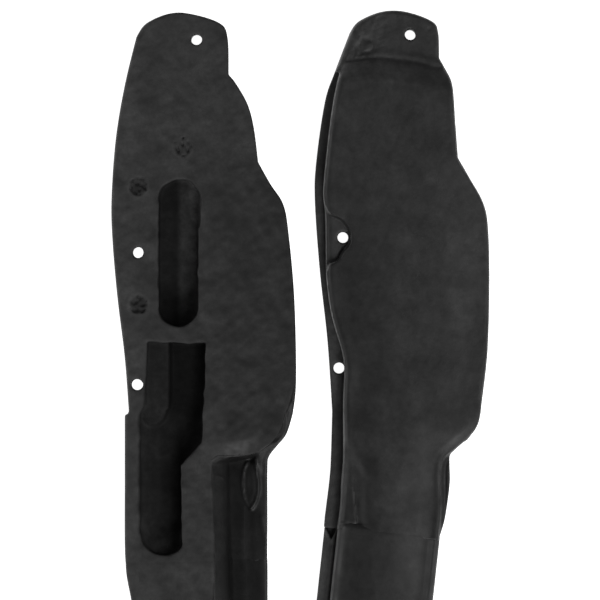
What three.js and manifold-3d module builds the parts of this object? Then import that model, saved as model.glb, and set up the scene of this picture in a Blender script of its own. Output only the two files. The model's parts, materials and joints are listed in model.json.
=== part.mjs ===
// A left/right pair of moulded weatherstrip ends: a dense rubber base with a steel insert and a
// soft raised body, spliced to an extruded strip with a hollow bulb. The left seal lies on its
// show face, the right seal on its mounting face. Units are millimetres, +Z is up.
// Local frame of a seal: u across, v along (towards the tab), w up from the mounting face.
import * as THREE from 'three';
import { mergeVertices } from 'three/addons/utils/BufferGeometryUtils.js';
import Module from 'manifold-3d';

const wasm = await Module();
wasm.setup();

const GAP = 0.3; // moulding clearance between neighbouring pieces
const THICK = 12; // mounting face to show face
const BASE = 3.6; // thickness of the dense base
const SKIN_LOW = BASE + GAP; // underside of the soft body
const TAB_TOP = 8.6; // show face of the lowered tab
const ROLL = 1.5; // rounding of the body's show edge
const HOLE_D = 3.3; // fastener hole
const PIN_D = 5.6; // mark left by an insert locating pin
const COLLAR_D = 5.2; // rubber collar around a fastener hole, through the insert
const PLATE = { low: 1.3, high: 2.3 }; // steel insert between these heights
const STRIP = { length: 40, width: 26, base: 3.0, skin: 2.0, floor: 1.2 };
const LIP_UNDER = 9.2; // underside of the side lip of the moulded end
const POCKET = { left: 10.2, right: 22.8, low: 70.2, high: 114, radius: 5.5, deep: 8.2, shallow: 6.8 };
const DEEP_POCKET = 9.0; // floor height of the long pocket
const BODY_WALL = 7.2; // the soft body's left wall beside the long pocket ends here
const PLUG_LENGTH = 9;

// The two hands differ a little, as flexible mouldings do when they lie loose.
const LEFT = {
  name: 'left', mirrored: true, at: [0, 0],
  flange: [[0.1, 0], [0, 24], [0, 43.8]],
  edge: [[1.1, 44.8], [-0.1, 61.8], [-2.3, 79.8], [-3.8, 98], [-3.9, 110], [-2.6, 127], [0.1, 142.8],
    [3.4, 156.6]],
  tab: [[6.4, 160.8], [13.2, 163.7], [19.6, 163.7], [28.2, 161], [30.7, 157], [31.1, 145.5]],
  waist: [[33.3, 142.8], [36.8, 136.6], [38.6, 129.8], [39.9, 119.4]],
  paddle: [[43.6, 112.8], [47.6, 106.3], [49.4, 95], [50.8, 78], [51.3, 54], [49.9, 41.5]],
  shoulder: [[46.2, 35.2], [38, 33], [29.5, 33.6]],
  neck: [[26.4, 30], [26.5, 18], [27, 0]],
  lipEdge: [[4.8, 30], [4.9, 43.4], [5.1, 52.4], [3.9, 61], [1.9, 69], [0, 79], [-0.3, 83.4], [3.6, 86],
    [5.9, 89.2], [6.5, 92.6], [5.9, 95.4], [3.2, 98], [-0.6, 100.8], [-1.5, 106], [-1.2, 114],
    [0.8, 128], [2.7, 140], [4, 148], [5.4, 155.6]],
  bodyTop: [[7.8, 159.8], [13.8, 162.6], [19.2, 162.6], [27.2, 160], [29.8, 156.4], [30.5, 146]],
  holes: [[21.5, 156], [4, 92.3], [3.8, 52.8]],
  pins: [[17.4, 123.9], [4.2, 112.2], [4.2, 76.7]],
  tabShift: [0, 0], pocketEnd: 1.8, tabStep: 146,
  splice: { u: 0.3, v: -1.5, yaw: 1.5 },
  lip: [[33, 8.9], [37.5, 9.5], [42.2, 10], [42.5, 11], [38, 11.9], [31, 11.6]],
};
const RIGHT = {
  name: 'right', mirrored: false, at: [60.7, 4.65],
  flange: [[-0.9, 3], [-0.2, 13], [1, 26], [1.4, 40]],
  edge: [[0, 61], [-2.3, 82], [-3.8, 103], [-3.4, 115], [-0.8, 133], [2.2, 142], [6.7, 153.6]],
  tab: [[9.6, 157.2], [16.3, 160], [23.4, 160], [31.2, 157.2], [33.3, 153.4], [33.6, 146]],
  waist: [[35.7, 142], [37.6, 136.6], [38.2, 127], [39, 116]],
  paddle: [[42.6, 109.8], [46.6, 102.6], [48.2, 94], [48.5, 78], [47.6, 55], [46, 41]],
  shoulder: [[42.6, 32], [36, 29.2], [28.5, 29.6]],
  neck: [[25.6, 27], [25.2, 14], [24.6, 2]],
  lipEdge: [[4.7, 27], [4.6, 43.4], [5.1, 52.4], [4.2, 58.4], [2.4, 64.4], [-0.2, 79.2], [0.1, 83.4],
    [3.3, 85.4], [6, 89], [6.7, 92.6], [6, 95.2], [3.2, 98], [-0.4, 101], [-1.3, 106.4], [0, 120],
    [2.7, 138], [4.7, 144.6], [7.2, 151.6]],
  bodyTop: [[10.2, 156], [16.8, 159], [23.2, 159], [30.4, 156.4], [32.4, 153], [33, 146]],
  holes: [[24.8, 153], [4.6, 92.2], [3.5, 53]],
  pins: [[17.4, 123.9], [4.2, 112.2], [4.2, 76.7]],
  tabShift: [2.6, -3.4], pocketEnd: 7.4, tabStep: 144.4,
  splice: { u: -0.9, v: 5.1, yaw: -6.2 },
  lip: [[32, 6.4], [32.6, 4.4], [34.6, 4.2], [34.9, 6], [34.2, 9], [31.5, 11]],
};

const rubber = (name, shade, roughness) => new THREE.MeshStandardMaterial({
  name, color: new THREE.Color(shade, shade, shade), roughness, metalness: 0,
});
const steel = () => new THREE.MeshStandardMaterial({
  name: 'steel', color: 0x8b8f92, roughness: 0.45, metalness: 0.9,
});

// BufferGeometry -> solid for booleans.
function solid(geometry) {
  const bare = new THREE.BufferGeometry();
  bare.setAttribute('position', geometry.getAttribute('position'));
  if (geometry.index) bare.setIndex(geometry.index);
  const merged = mergeVertices(bare, 1e-4);
  return new wasm.Manifold(new wasm.Mesh({
    numProp: 3,
    vertProperties: new Float32Array(merged.getAttribute('position').array),
    triVerts: new Uint32Array(merged.index.array),
  }));
}

// Solid in the seal's local frame -> named mesh in the shared frame.
function piece(hand, part, body, material) {
  const { vertProperties, triVerts } = body.getMesh();
  const geometry = new THREE.BufferGeometry();
  geometry.setAttribute('position', new THREE.BufferAttribute(new Float32Array(vertProperties), 3));
  const index = Array.from(triVerts);
  if (hand.mirrored) {
    geometry.applyMatrix4(new THREE.Matrix4().makeScale(1, 1, -1).setPosition(0, 0, THICK));
    index.reverse();
  }
  geometry.setIndex(index);
  geometry.translate(hand.at[0], hand.at[1], 0);
  const flat = geometry.toNonIndexed();
  flat.computeVertexNormals();
  const mesh = new THREE.Mesh(flat, material);
  mesh.name = `${hand.name}_${part}`;
  return mesh;
}

// Straight prism of a plan shape between two heights.
function prism(shape, low, high, curveSegments = 3) {
  const geometry = new THREE.ExtrudeGeometry(shape, {
    depth: high - low, bevelEnabled: false, curveSegments,
  });
  return solid(geometry.translate(0, 0, low));
}

// Prism whose top edge is rolled over by a radius; the underside stays square.
function crowned(shape, low, high, radius) {
  const geometry = new THREE.ExtrudeGeometry(shape, {
    depth: high - low - radius, bevelEnabled: true, bevelThickness: radius, bevelSize: radius,
    bevelOffset: -radius, bevelSegments: 3, curveSegments: 2,
  });
  const under = new THREE.BoxGeometry(400, 400, 2 * radius).translate(0, 0, low - radius);
  return solid(geometry.translate(0, 0, low)).subtract(solid(under));
}

function cylinder([u, v], diameter, low, high) {
  const geometry = new THREE.CylinderGeometry(diameter / 2, diameter / 2, high - low, 32);
  return solid(geometry.rotateX(Math.PI / 2).translate(u, v, (low + high) / 2));
}

function block(u0, u1, v0, v1, w0, w1) {
  const geometry = new THREE.BoxGeometry(u1 - u0, v1 - v0, w1 - w0);
  return solid(geometry.translate((u0 + u1) / 2, (v0 + v1) / 2, (w0 + w1) / 2));
}

const points = (list) => list.map(([x, y]) => new THREE.Vector2(x, y));

// Smooth runs of points joined at corners.
function contour(runs) {
  const shape = new THREE.Shape();
  shape.moveTo(runs[0][0][0], runs[0][0][1]);
  runs.forEach((run, i) => {
    const rest = i === 0 ? run.slice(1) : run;
    if (rest.length === 1) shape.lineTo(rest[0][0], rest[0][1]);
    else shape.splineThru(points(rest));
  });
  return shape;
}

// Polygon through the points exactly as given.
const polygon = (list) => new THREE.Shape(points(list));

// Rectangle with rounded corners.
function slot(u0, u1, v0, v1, r) {
  const shape = new THREE.Shape();
  shape.moveTo(u0 + r, v0);
  shape.lineTo(u1 - r, v0);
  shape.absarc(u1 - r, v0 + r, r, -Math.PI / 2, 0);
  shape.lineTo(u1, v1 - r);
  shape.absarc(u1 - r, v1 - r, r, 0, Math.PI / 2);
  shape.lineTo(u0 + r, v1);
  shape.absarc(u0 + r, v1 - r, r, Math.PI / 2, Math.PI);
  shape.lineTo(u0, v0 + r);
  shape.absarc(u0 + r, v0 + r, r, Math.PI, 1.5 * Math.PI);
  return shape;
}

// The tab of one hand leans and sits lower than the other's.
const leaned = (hand, list) => list.map(([u, v]) => {
  const share = THREE.MathUtils.clamp((v - 112) / 40, 0, 1);
  return [u + hand.tabShift[0] * share, v + hand.tabShift[1] * share];
});

// Everything on the strip's side of the splice.
function beyondSplice(hand, offset) {
  const { u, v, yaw } = hand.splice;
  const geometry = new THREE.BoxGeometry(200, 60, 60).translate(0, -30 + offset, 0);
  return solid(geometry.rotateZ(THREE.MathUtils.degToRad(yaw)).translate(u, v, 0));
}

// Long pocket: wide above its diagonal, narrow below, with a rounded end near the splice.
function longPocket(hand) {
  const end = hand.pocketEnd;
  const shape = new THREE.Shape();
  shape.moveTo(6.2, end + 7);
  shape.quadraticCurveTo(6.2, end, 11.4, end);
  shape.quadraticCurveTo(16.8, end, 16.8, end + 4);
  shape.lineTo(16.8, 28.8);
  shape.lineTo(21.6, 34);
  shape.quadraticCurveTo(23.3, 35.6, 23.4, 38);
  shape.lineTo(24.1, 64.2);
  shape.lineTo(22.8, 65.4);
  shape.lineTo(7.2, 65.4);
  shape.lineTo(7.2, 44);
  shape.quadraticCurveTo(6.2, 42, 6.2, 39);
  return shape;
}

// Shallow shelf in the long pocket's upper left part.
function shelf() {
  const shape = new THREE.Shape();
  shape.moveTo(3.8, 66);
  shape.lineTo(3.8, 43);
  shape.quadraticCurveTo(6.6, 40.3, 9, 40.6);
  shape.quadraticCurveTo(12.4, 42, 13.2, 50);
  shape.lineTo(13.2, 66);
  return shape;
}

// Plate that stiffens the head of the base; it ends above the long pocket.
function insertPlan(hand, grow) {
  const g = grow;
  const outline = [[1.2 - g, 68 - g], [7.7 + g, 68 - g], [8 + g, 112 - g], [9.6 + g, 117 - g],
    [24, 118.4 - g], [35.2 + g, 121.6 - g], [35.4 + g, 129], [32.6 + g, 137.6], [28.4 + g, 142.6],
    [27.6 + g, 157 + g], [9 - g, 158 + g], [5.4 - g, 154.4], [3.2 - g, 145], [0.6 - g, 130],
    [-1.4 - g, 112], [-1.4 - g, 98], [0 - g, 82]];
  return polygon(leaned(hand, outline));
}

function steelInsert(hand) {
  let plate = prism(insertPlan(hand, 0), PLATE.low, PLATE.high);
  for (const hole of hand.holes.slice(0, 2)) {
    plate = plate.subtract(cylinder(hole, COLLAR_D + 2 * GAP, 0, BASE));
  }
  return piece(hand, 'steel_insert', plate, steel());
}

function mountingBase(hand) {
  const plan = contour([hand.flange, hand.edge, hand.tab, hand.waist, hand.paddle, hand.shoulder,
    hand.neck]);
  let base = prism(plan, 0, BASE);
  let cavity = prism(insertPlan(hand, GAP), PLATE.low - GAP, PLATE.high + GAP);
  for (const hole of hand.holes.slice(0, 2)) {
    cavity = cavity.subtract(cylinder(hole, COLLAR_D, 0, BASE));
  }
  base = base.subtract(cavity);
  for (const hole of hand.holes) base = base.subtract(cylinder(hole, HOLE_D, -1, BASE + 1));
  for (const pin of hand.pins) base = base.subtract(cylinder(pin, PIN_D, -1, PLATE.low));
  const { left, right, low, high, radius } = POCKET;
  base = base.subtract(prism(slot(left, right, low, high, radius), -1, BASE + 1));
  base = base.subtract(prism(longPocket(hand), -1, BASE + 1));
  base = base.subtract(beyondSplice(hand, 0));
  return piece(hand, 'mounting_base', base, rubber('dense_rubber', 0.045, 0.62));
}

// Outer section of the bulb and its side lip, u across and w up, for a given flat underside.
function bulbSection(hand, low) {
  const lip = hand.lip;
  const shape = new THREE.Shape();
  shape.moveTo(4.5, low);
  shape.lineTo(31, low);
  shape.lineTo(31.5, 6.2);
  shape.splineThru(points(lip));
  shape.splineThru(points([[27, 11.7], [18, THICK - 0.1], [11, 11.4], [7, 9.9], [4.9, 7]]));
  return shape;
}

// Extrudes a section along the strip from one distance past the splice to another.
function along(hand, shape, from, to) {
  const { u, v, yaw } = hand.splice;
  const geometry = new THREE.ExtrudeGeometry(shape, {
    depth: to - from, bevelEnabled: false, curveSegments: 2,
  });
  geometry.rotateX(Math.PI / 2).translate(0, -from, 0);
  return solid(geometry.rotateZ(THREE.MathUtils.degToRad(yaw)).translate(u, v, 0));
}

function sealingBody(hand) {
  const foot = hand.lipEdge[0][1];
  const plan = contour([hand.lipEdge, hand.bodyTop, hand.waist, hand.paddle,
    [hand.shoulder[0], [40, foot + 1.5], [30, foot]]]);
  let body = crowned(plan, SKIN_LOW, THICK, ROLL);
  body = body.add(along(hand, bulbSection(hand, SKIN_LOW), -foot - 6, 0).subtract(
    block(-60, 100, foot + 4, 200, -1, 20)));
  const ramp = polygon([[hand.tabStep, THICK + 1], [hand.tabStep + 3, TAB_TOP], [200, TAB_TOP], [200, 20]]);
  const drop = new THREE.ExtrudeGeometry(ramp, { depth: 200, bevelEnabled: false });
  drop.rotateX(Math.PI / 2).rotateZ(Math.PI / 2).translate(-50, 0, 0);
  body = body.subtract(solid(drop));
  const { left, right, low, high, radius } = POCKET;
  const middle = left + 8;
  const recess = slot(left, right, low, high, radius);
  body = body.subtract(prism(recess, 0, POCKET.shallow));
  body = body.subtract(prism(slot(left, middle, low, high, 4), 0, POCKET.deep));
  const ledges = prism(shelf(), 0, THICK).add(block(-20, BODY_WALL, -10, 60, 0, THICK));
  body = body.subtract(prism(longPocket(hand), 0, DEEP_POCKET).subtract(ledges));
  body = body.subtract(cylinder(hand.holes[0], HOLE_D, 0, THICK));
  body = body.subtract(beyondSplice(hand, 0));
  return piece(hand, 'sealing_body', body, rubber('soft_rubber', 0.035, 0.55));
}

function stripBase(hand) {
  const section = polygon([[0.4, 0], [STRIP.width - 0.4, 0], [STRIP.width, 0.4],
    [STRIP.width, STRIP.base], [1.2, STRIP.base], [0, 2.2], [0, 0.4]]);
  return piece(hand, 'strip_base', along(hand, section, GAP, STRIP.length),
    rubber('extruded_dense_rubber', 0.04, 0.5));
}

// Hollow of the bulb, grown by a clearance when negative.
function hollowSection(inset) {
  const left = 4.5 + STRIP.skin + inset;
  const right = 31 - STRIP.skin - inset;
  const low = STRIP.base + GAP + STRIP.floor + inset;
  const shape = new THREE.Shape();
  shape.moveTo(left + 0.6, low);
  shape.lineTo(right - 0.6, low);
  shape.quadraticCurveTo(right, low, right, low + 1.4);
  shape.quadraticCurveTo(right, THICK - STRIP.skin - inset, 18, THICK - STRIP.skin - inset);
  shape.quadraticCurveTo(left + 0.6, THICK - STRIP.skin - inset, left, low + 1.4);
  return shape;
}

function stripBulb(hand) {
  let bulb = along(hand, bulbSection(hand, STRIP.base + GAP), GAP, STRIP.length);
  bulb = bulb.subtract(along(hand, hollowSection(0), -1, STRIP.length + 1));
  return piece(hand, 'strip_bulb', bulb, rubber('extruded_soft_rubber', 0.03, 0.45));
}

function splicePlug(hand) {
  return piece(hand, 'splice_plug', along(hand, hollowSection(GAP), GAP, PLUG_LENGTH),
    rubber('plug_rubber', 0.05, 0.7));
}

// Moves the whole set so that its box stands centred on the origin with its bottom at zero.
function centred(group) {
  const box = new THREE.Box3().setFromObject(group);
  const middle = box.getCenter(new THREE.Vector3());
  for (const mesh of group.children) mesh.geometry.translate(-middle.x, -middle.y, -box.min.z);
  return group;
}

const set = new THREE.Group();
set.name = 'weatherstrip_end_pair';
for (const hand of [LEFT, RIGHT]) {
  set.add(mountingBase(hand), steelInsert(hand), sealingBody(hand));
  set.add(stripBase(hand), stripBulb(hand), splicePlug(hand));
}

export default centred(set);
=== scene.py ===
"""Looks of a left/right pair of moulded rubber weatherstrip ends with spliced hollow strips.

Every rubber piece is a closed mesh taken from a distance field on a grid, in the seal's own
millimetre frame: u across, v along towards the tab, w up from the mounting face. The left seal
lies on its show face, so its w axis points down.
"""
import json
import math

import bpy
import numpy as np
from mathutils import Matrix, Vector


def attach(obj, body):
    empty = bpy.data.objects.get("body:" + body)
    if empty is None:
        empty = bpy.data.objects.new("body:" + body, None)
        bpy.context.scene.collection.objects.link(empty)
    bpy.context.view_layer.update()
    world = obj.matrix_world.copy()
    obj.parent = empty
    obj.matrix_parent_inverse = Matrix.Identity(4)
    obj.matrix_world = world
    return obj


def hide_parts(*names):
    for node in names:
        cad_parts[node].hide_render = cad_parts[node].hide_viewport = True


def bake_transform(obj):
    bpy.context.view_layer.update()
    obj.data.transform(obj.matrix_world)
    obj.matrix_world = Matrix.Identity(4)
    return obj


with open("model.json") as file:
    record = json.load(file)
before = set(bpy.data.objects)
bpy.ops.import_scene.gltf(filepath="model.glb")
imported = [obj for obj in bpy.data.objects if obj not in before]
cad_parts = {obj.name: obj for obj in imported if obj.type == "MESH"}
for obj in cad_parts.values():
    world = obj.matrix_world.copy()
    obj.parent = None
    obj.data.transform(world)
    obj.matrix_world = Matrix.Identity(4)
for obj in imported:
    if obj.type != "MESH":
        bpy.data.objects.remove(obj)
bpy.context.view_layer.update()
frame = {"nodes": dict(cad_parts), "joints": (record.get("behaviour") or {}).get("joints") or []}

MM = 0.001
THICK = 12.0  # mounting face to show face
BASE = 3.6  # thickness of the dense base
TAB = 8.6  # height of the lowered tab
STEP = 0.45  # grid spacing of the moulded heads
STRIP_GRID = (0.4, 0.7, 0.4)  # the same across, along and up the strips
HOLE_R = 1.65  # fastener hole
PIN_R = 2.8  # mark of an insert locating pin
HINGE_ACROSS, HINGE_PAST = 15, 0.15  # where the strip's hinge lies from its splice corner
STRIP_START, STRIP_END = -2.6, 39.9  # the strip's ends, past the splice
BEND_LENGTH = 14  # stretch of strip past the hinge; its ends are worked out but not used
TAPER_LENGTH = 14  # stretch of strip over which its base narrows
STRIP_FLAT = 3.0  # thickness of the strip's flat base
BULB_SIDE = 3.9  # where the bulb starts across the strip
HOLLOW, HOLLOW_HALF = (17.6, 7.2), (11, 2.6)  # middle and half size of the bulb's hollow
HOLLOW_POWER = 2.6  # its squareness; 2 would be an ellipse
PLUG_START, PLUG_END = 0.4, 9  # the plug's ends, past the splice
POCKET_END = 1.8  # lower end of the long pocket
SHORT_POCKET = (10.2, 22.7, 70.2, 114)  # left, right, lower and upper wall
SHORT_POCKET_R = 5.8
SHORT_FLOOR, LONG_FLOOR, SHELF_FLOOR = 8.3, 9.2, 4.4  # heights of the pocket floors
SHOW = 11.9  # height of the show face before its crown
RAMP = 7  # length of the slope from the show face to the tab
SCALLOP = 2.3  # depth of the cut-away around the middle fastener hole
VALLEY = (31, 36)  # foot of the wall beside the lip, across the strip
VALLEY_END, VALLEY_TOP = 30, 9.9
RING, RING_R = (11.7, 5), 2.1  # moulded ring on the tab, above its step
DIMPLE = (30.6, 154.7)  # small mark at the right of the tab
BUMP_DEPTH = 0.00012  # metres
FLOOR_GLOW = 1.0
FLOOR_HALF, FLOOR_DROP = 3.0, 0.0002  # metres
LENS, SENSOR = 300, 36
VIEW_WIDTH = 0.180  # metres seen across at the seals
AIM = (52.44, 78.1)  # middle of the view, from the left seal's origin

LEFT = dict(
    name="left", mirrored=True, yaw=1.5, splice=(0.3, -1.5), bend=0.0,
    flange=[(0.4, -2.5), (0, 5), (0, 24), (0, 43.8)],
    edge=[(1.1, 44.4), (1.0, 48), (-0.1, 61.8), (-2.3, 79.8), (-3.8, 98), (-3.9, 110),
          (-2.6, 127), (0.1, 142.8), (3.5, 156.8)],
    tab=[(6.4, 160.8), (13.2, 163.7), (19.6, 163.7), (28.4, 160.9), (30.8, 156.6), (31.1, 145.5)],
    waist=[(33.3, 142.8), (36.8, 136.6), (38.6, 129.8), (39.9, 119.4)],
    paddle=[(43.6, 112.8), (47.5, 106.6), (49.1, 97.5), (50.8, 78), (51.3, 54), (50.3, 44)],
    shoulder=[(48.4, 38), (45.4, 34.2), (43.1, 31), (42.7, 27), (42.7, 12), (42.6, -3)],
    base_foot=[(49.4, 47), (48.0, 43.5), (46.9, 39.6), (44.8, 36.4), (41, 33.3), (37, 31.7),
               (33, 31.1), (29.6, 30.9)],
    neck=[(27, 30.6), (26.3, 28.5), (26.2, 24), (26.8, 12), (27.2, -3)],
    lip_edge=[(2.6, -3), (2.8, 12), (3.1, 30), (3.2, 43), (5.6, 49), (5.7, 56), (3.9, 62),
              (1.9, 69), (0, 79), (-0.5, 84), (-0.9, 92), (-1.3, 100), (-1.5, 106), (-1.2, 114),
              (0.8, 128), (2.7, 140), (4, 148), (5, 155)],
    notch=[(-3, 83), (0.2, 83.8), (3.4, 85.8), (5.8, 89), (6.4, 92.4), (5.6, 95.6), (3.2, 97.9),
           (-0.6, 100.8), (-3, 102)],
    body_top=[(7.6, 160), (13.8, 162.9), (19.2, 162.9), (27.4, 160.4), (30, 156.8), (30.6, 146)],
    holes=[(21.5, 156), (4, 92.3), (3.75, 52.8)],
    pocket_end=POCKET_END, pocket_in=0.0, tab_step=146.2,
    rim=[(31, 146.4), (33.2, 142.9), (36.7, 136.6), (38.5, 129.8), (39.8, 119.6), (43.5, 112.9),
         (47.4, 106.6), (49.0, 97.5), (50.7, 78), (51.2, 54), (50.2, 44), (48.3, 38.1),
         (45.3, 34.3), (43, 31), (42.6, 27), (42.6, 12), (42.5, -3)],
    flap_in=[(36.6, 29.4), (35.4, 26.6), (35.2, 22), (35.9, 18), (37.6, 15.6)],
    flap_out=[(39.1, 30.4), (39.4, 27), (40, 22), (39.3, 18), (37.8, 15.4)],
    lip_fold=[(48.4, 46), (48.4, 43), (47.8, 39), (45.9, 36), (42.1, 33.7), (40, 32), (39.1, 30.4)],
    lip_reach=42.4, base_reach=26.9, taper=(1.7, -0.9),
)
RIGHT = dict(
    name="right", mirrored=False, yaw=-6.2, splice=(-0.9, 5.1), bend=0.002,
    flange=[(-1.2, 2.4), (-0.9, 7.6), (0.5, 19), (1, 26), (1.4, 40)],
    edge=[(0, 61), (-2.3, 82), (-3.8, 103), (-3.4, 115), (-0.8, 133), (2.2, 142), (6.7, 153.8)],
    tab=[(9.4, 157.2), (16.3, 160), (23.4, 160), (31.4, 157.1), (33.3, 153.6), (33.6, 146)],
    waist=[(35.7, 142), (37.4, 137.4), (38.2, 127), (39, 116)],
    paddle=[(42.6, 109.8), (46.6, 102.6), (48.1, 95), (48.5, 78), (47.9, 58), (46.2, 43)],
    shoulder=[(45.6, 38.3), (44.6, 35.3), (43, 33), (41.8, 31.5), (40.6, 30.7), (37.9, 28.3),
              (36.7, 26.8), (36.6, 24), (36.6, 18), (35.2, 8), (33.5, 2), (33.2, -2)],
    base_foot=[(45.2, 41), (43.6, 36), (41.8, 33), (36, 29.6), (28.5, 29.6)],
    neck=[(25.6, 27), (25.2, 14), (24.6, 1)],
    lip_edge=[(1.6, -2), (3.6, 10.4), (4.1, 19.4), (4.65, 27), (4.65, 43.4), (5.0, 52.4),
              (4.2, 58.4), (2.4, 64.4), (0.9, 70.4), (-0.3, 79.4), (-0.5, 84), (-0.6, 92),
              (-0.8, 100), (-1.3, 106.4), (0, 120), (1.2, 129.8), (2.7, 138), (4.6, 144.6),
              (7.2, 152.4)],
    notch=[(-3, 81.8), (-0.2, 82.4), (0.6, 84.2), (3.3, 85.6), (4.6, 87.9), (6.3, 90), (6.7, 92.9),
           (5.9, 95.3), (4.3, 97.4), (2.4, 98.4), (0.4, 99.6), (-0.8, 101.6), (-3, 102.6)],
    rim=[(33.4, 146.4), (35.5, 142.2), (37.2, 137.4), (38, 127), (38.8, 116.2), (42.4, 109.8),
         (46.4, 102.6), (47.9, 95), (48.3, 78), (47.7, 58), (46, 45), (45.7, 38.5), (44.6, 35.4),
         (43, 33.1), (41.8, 31.6), (40.6, 30.7), (37.8, 28.4), (36, 27), (34.9, 25.6),
         (34.2, 23.6), (34, 20), (34, 10), (33.2, 1)],
    body_top=[(9.8, 156.4), (16.5, 159.4), (23.2, 159.4), (30.8, 156.6), (32.6, 153.4), (33, 146)],
    holes=[(24.8, 153), (4.6, 92.2), (3.45, 53)],
    pocket_end=7.4, pocket_in=2.0, tab_step=144.6,
    flap_in=[(36.8, 27), (35.9, 25.6), (35.3, 22.6), (35.2, 14), (34.8, 8.8), (33.7, 3)],
    lip_reach=34.7, base_reach=26.0, taper=(0.0, 0.0),
)
SIDE_FOLD = [(3.8, 46), (4.6, 38), (5.4, 32), (6.6, 28), (8.6, 24.6), (11.4, 21.6), (15, 18)]
SIDE_CREASE = [(6.9, 22), (7.3, 17), (7.6, 12.5), (7.8, 9.5), (8.1, 7.0)]
FOOT_LINE = [(26, 30.6), (31, 31.2), (38, 33), (42, 35.2), (46, 38.4)]
WALL_LINE = [(26, 29.6), (30, 30.1), (36, 31.2), (40, 32.6)]
NOTCH = [(-2, -3), (0.4, 0.2), (2.5, 3.2), (3.7, 0.4), (3.7, -3)]
# path of the painted highlight along one side of the notch
NOTCH_HIGHLIGHT = [(0.6, 1.2), (2.5, 4.2)]
LIP_CREASES = [([(27.7, 25.5), (29.2, 24.9), (30.4, 23.1)], 0.35), ([(30.7, 28.5), (30.8, 14)], 0.4),
               ([(40.8, 13), (41.8, 7.5), (42.4, 4.5)], 0.45)]
CROWN_MIDDLE = [(7.6, 11), (9.5, 11.3), (13, 11.7), (17, 11.95), (22, 11.8), (27, 11.1), (29, 10.6)]
PINS = [(17.4, 123.9), (4.2, 112.2), (4.2, 76.7)]


# ---------------------------------------------------------------- curves and distance fields

def spline(points, per=6):
    """Catmull-Rom curve through the points."""
    p = np.array([points[0]] + list(points) + [points[-1]], float)
    t = np.linspace(0, 1, per, endpoint=False)[:, None]
    out = []
    for i in range(len(p) - 3):
        a, b, c, d = p[i:i + 4]
        out.append(0.5 * (2 * b + (c - a) * t + (2 * a - 5 * b + 4 * c - d) * t ** 2
                          + (3 * b - a - 3 * c + d) * t ** 3))
    out.append(p[-2][None])
    return np.vstack(out)


def outline(*runs):
    """Smooth runs joined end to end, with a corner at each join."""
    parts, last = [], None
    for run in runs:
        points = run if last is None else [last] + list(run)
        parts.append(spline(points)[(0 if last is None else 1):])
        last = run[-1]
    return np.vstack(parts)


def read_line(points, x):
    """Height of a broken line at x."""
    return np.interp(x, *zip(*points))


def line_distance(path, U, V):
    """Distance to an open polyline."""
    path = np.asarray(path, float)
    best = np.full(U.shape, 1e9)
    for (ax, ay), (bx, by) in zip(path[:-1], path[1:]):
        dx, dy = bx - ax, by - ay
        t = np.clip(((U - ax) * dx + (V - ay) * dy) / max(dx * dx + dy * dy, 1e-12), 0, 1)
        best = np.minimum(best, (U - ax - t * dx) ** 2 + (V - ay - t * dy) ** 2)
    return np.sqrt(best)


def area_distance(path, U, V):
    """Distance to a closed polygon, positive inside."""
    path = np.asarray(path, float)
    closed = np.vstack([path, path[:1]])
    inside = np.zeros(U.shape, bool)
    for (ax, ay), (bx, by) in zip(closed[:-1], closed[1:]):
        crosses = (ay > V) != (by > V)
        with np.errstate(divide="ignore", invalid="ignore"):
            inside ^= crosses & (U < (bx - ax) * (V - ay) / (by - ay) + ax)
    return np.where(inside, 1, -1) * line_distance(closed, U, V)


def smin(a, b, k):
    """Smaller of the two, blended over k."""
    h = np.maximum(k - np.abs(a - b), 0) / k
    return np.minimum(a, b) - h * h * k / 4


def smax(a, b, k):
    """Larger of the two, blended over k."""
    return -smin(-a, -b, k)


def smooth(a, b, x):
    """Smooth step from 0 at a to 1 at b."""
    t = np.clip((x - a) / (b - a), 0, 1)
    return t * t * (3 - 2 * t)


def bell(d, width):
    """Bump of height 1 at nought."""
    return np.exp(-(d / width) ** 2)


def roll(d, r):
    """Drop of a quarter-round edge at distance d inside it."""
    x = np.clip(r - d, 0, r)
    return r - np.sqrt(np.maximum(r * r - x * x, 0))


def waves(U, V, length, seed, count=28):
    """Smooth random relief of about unit size, from plane waves of random direction."""
    rng = np.random.RandomState(seed)
    out = np.zeros(np.broadcast(U, V).shape)
    for _ in range(count):
        a, phase = rng.uniform(0, 2 * math.pi, 2)
        k = 2 * math.pi / (length * rng.uniform(0.7, 1.6))
        out += np.cos(k * (U * math.cos(a) + V * math.sin(a)) + phase)
    return out / math.sqrt(count / 2)


def rounded_box(U, V, u0, u1, v0, v1, r):
    """Distance to a rectangle with rounded corners, positive inside."""
    x = np.abs(U - (u0 + u1) / 2) - (u1 - u0) / 2 + r
    y = np.abs(V - (v0 + v1) / 2) - (v1 - v0) / 2 + r
    outside = np.hypot(np.maximum(x, 0), np.maximum(y, 0))
    return r - outside - np.minimum(np.maximum(x, y), 0)


def grid(low, high, step):
    """Plan coordinates as two-dimensional arrays, and heights to broadcast with them."""
    axes = [np.arange(a, b + s, s) for a, b, s in zip(low, high, step)]
    U, V = np.meshgrid(axes[0], axes[1], indexing="ij")
    return U, V, axes[2][None, None, :]


def wall(field, w):
    """A plan field carried straight up the grid."""
    return field[..., None] + 0 * w


# ---------------------------------------------------------------- meshing

CORNERS = np.array([(i, j, k) for k in (0, 1) for j in (0, 1) for i in (0, 1)])
EDGES = [(a, b) for a in range(8) for b in range(a + 1, 8)
         if np.abs(CORNERS[a] - CORNERS[b]).sum() == 1]


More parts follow.
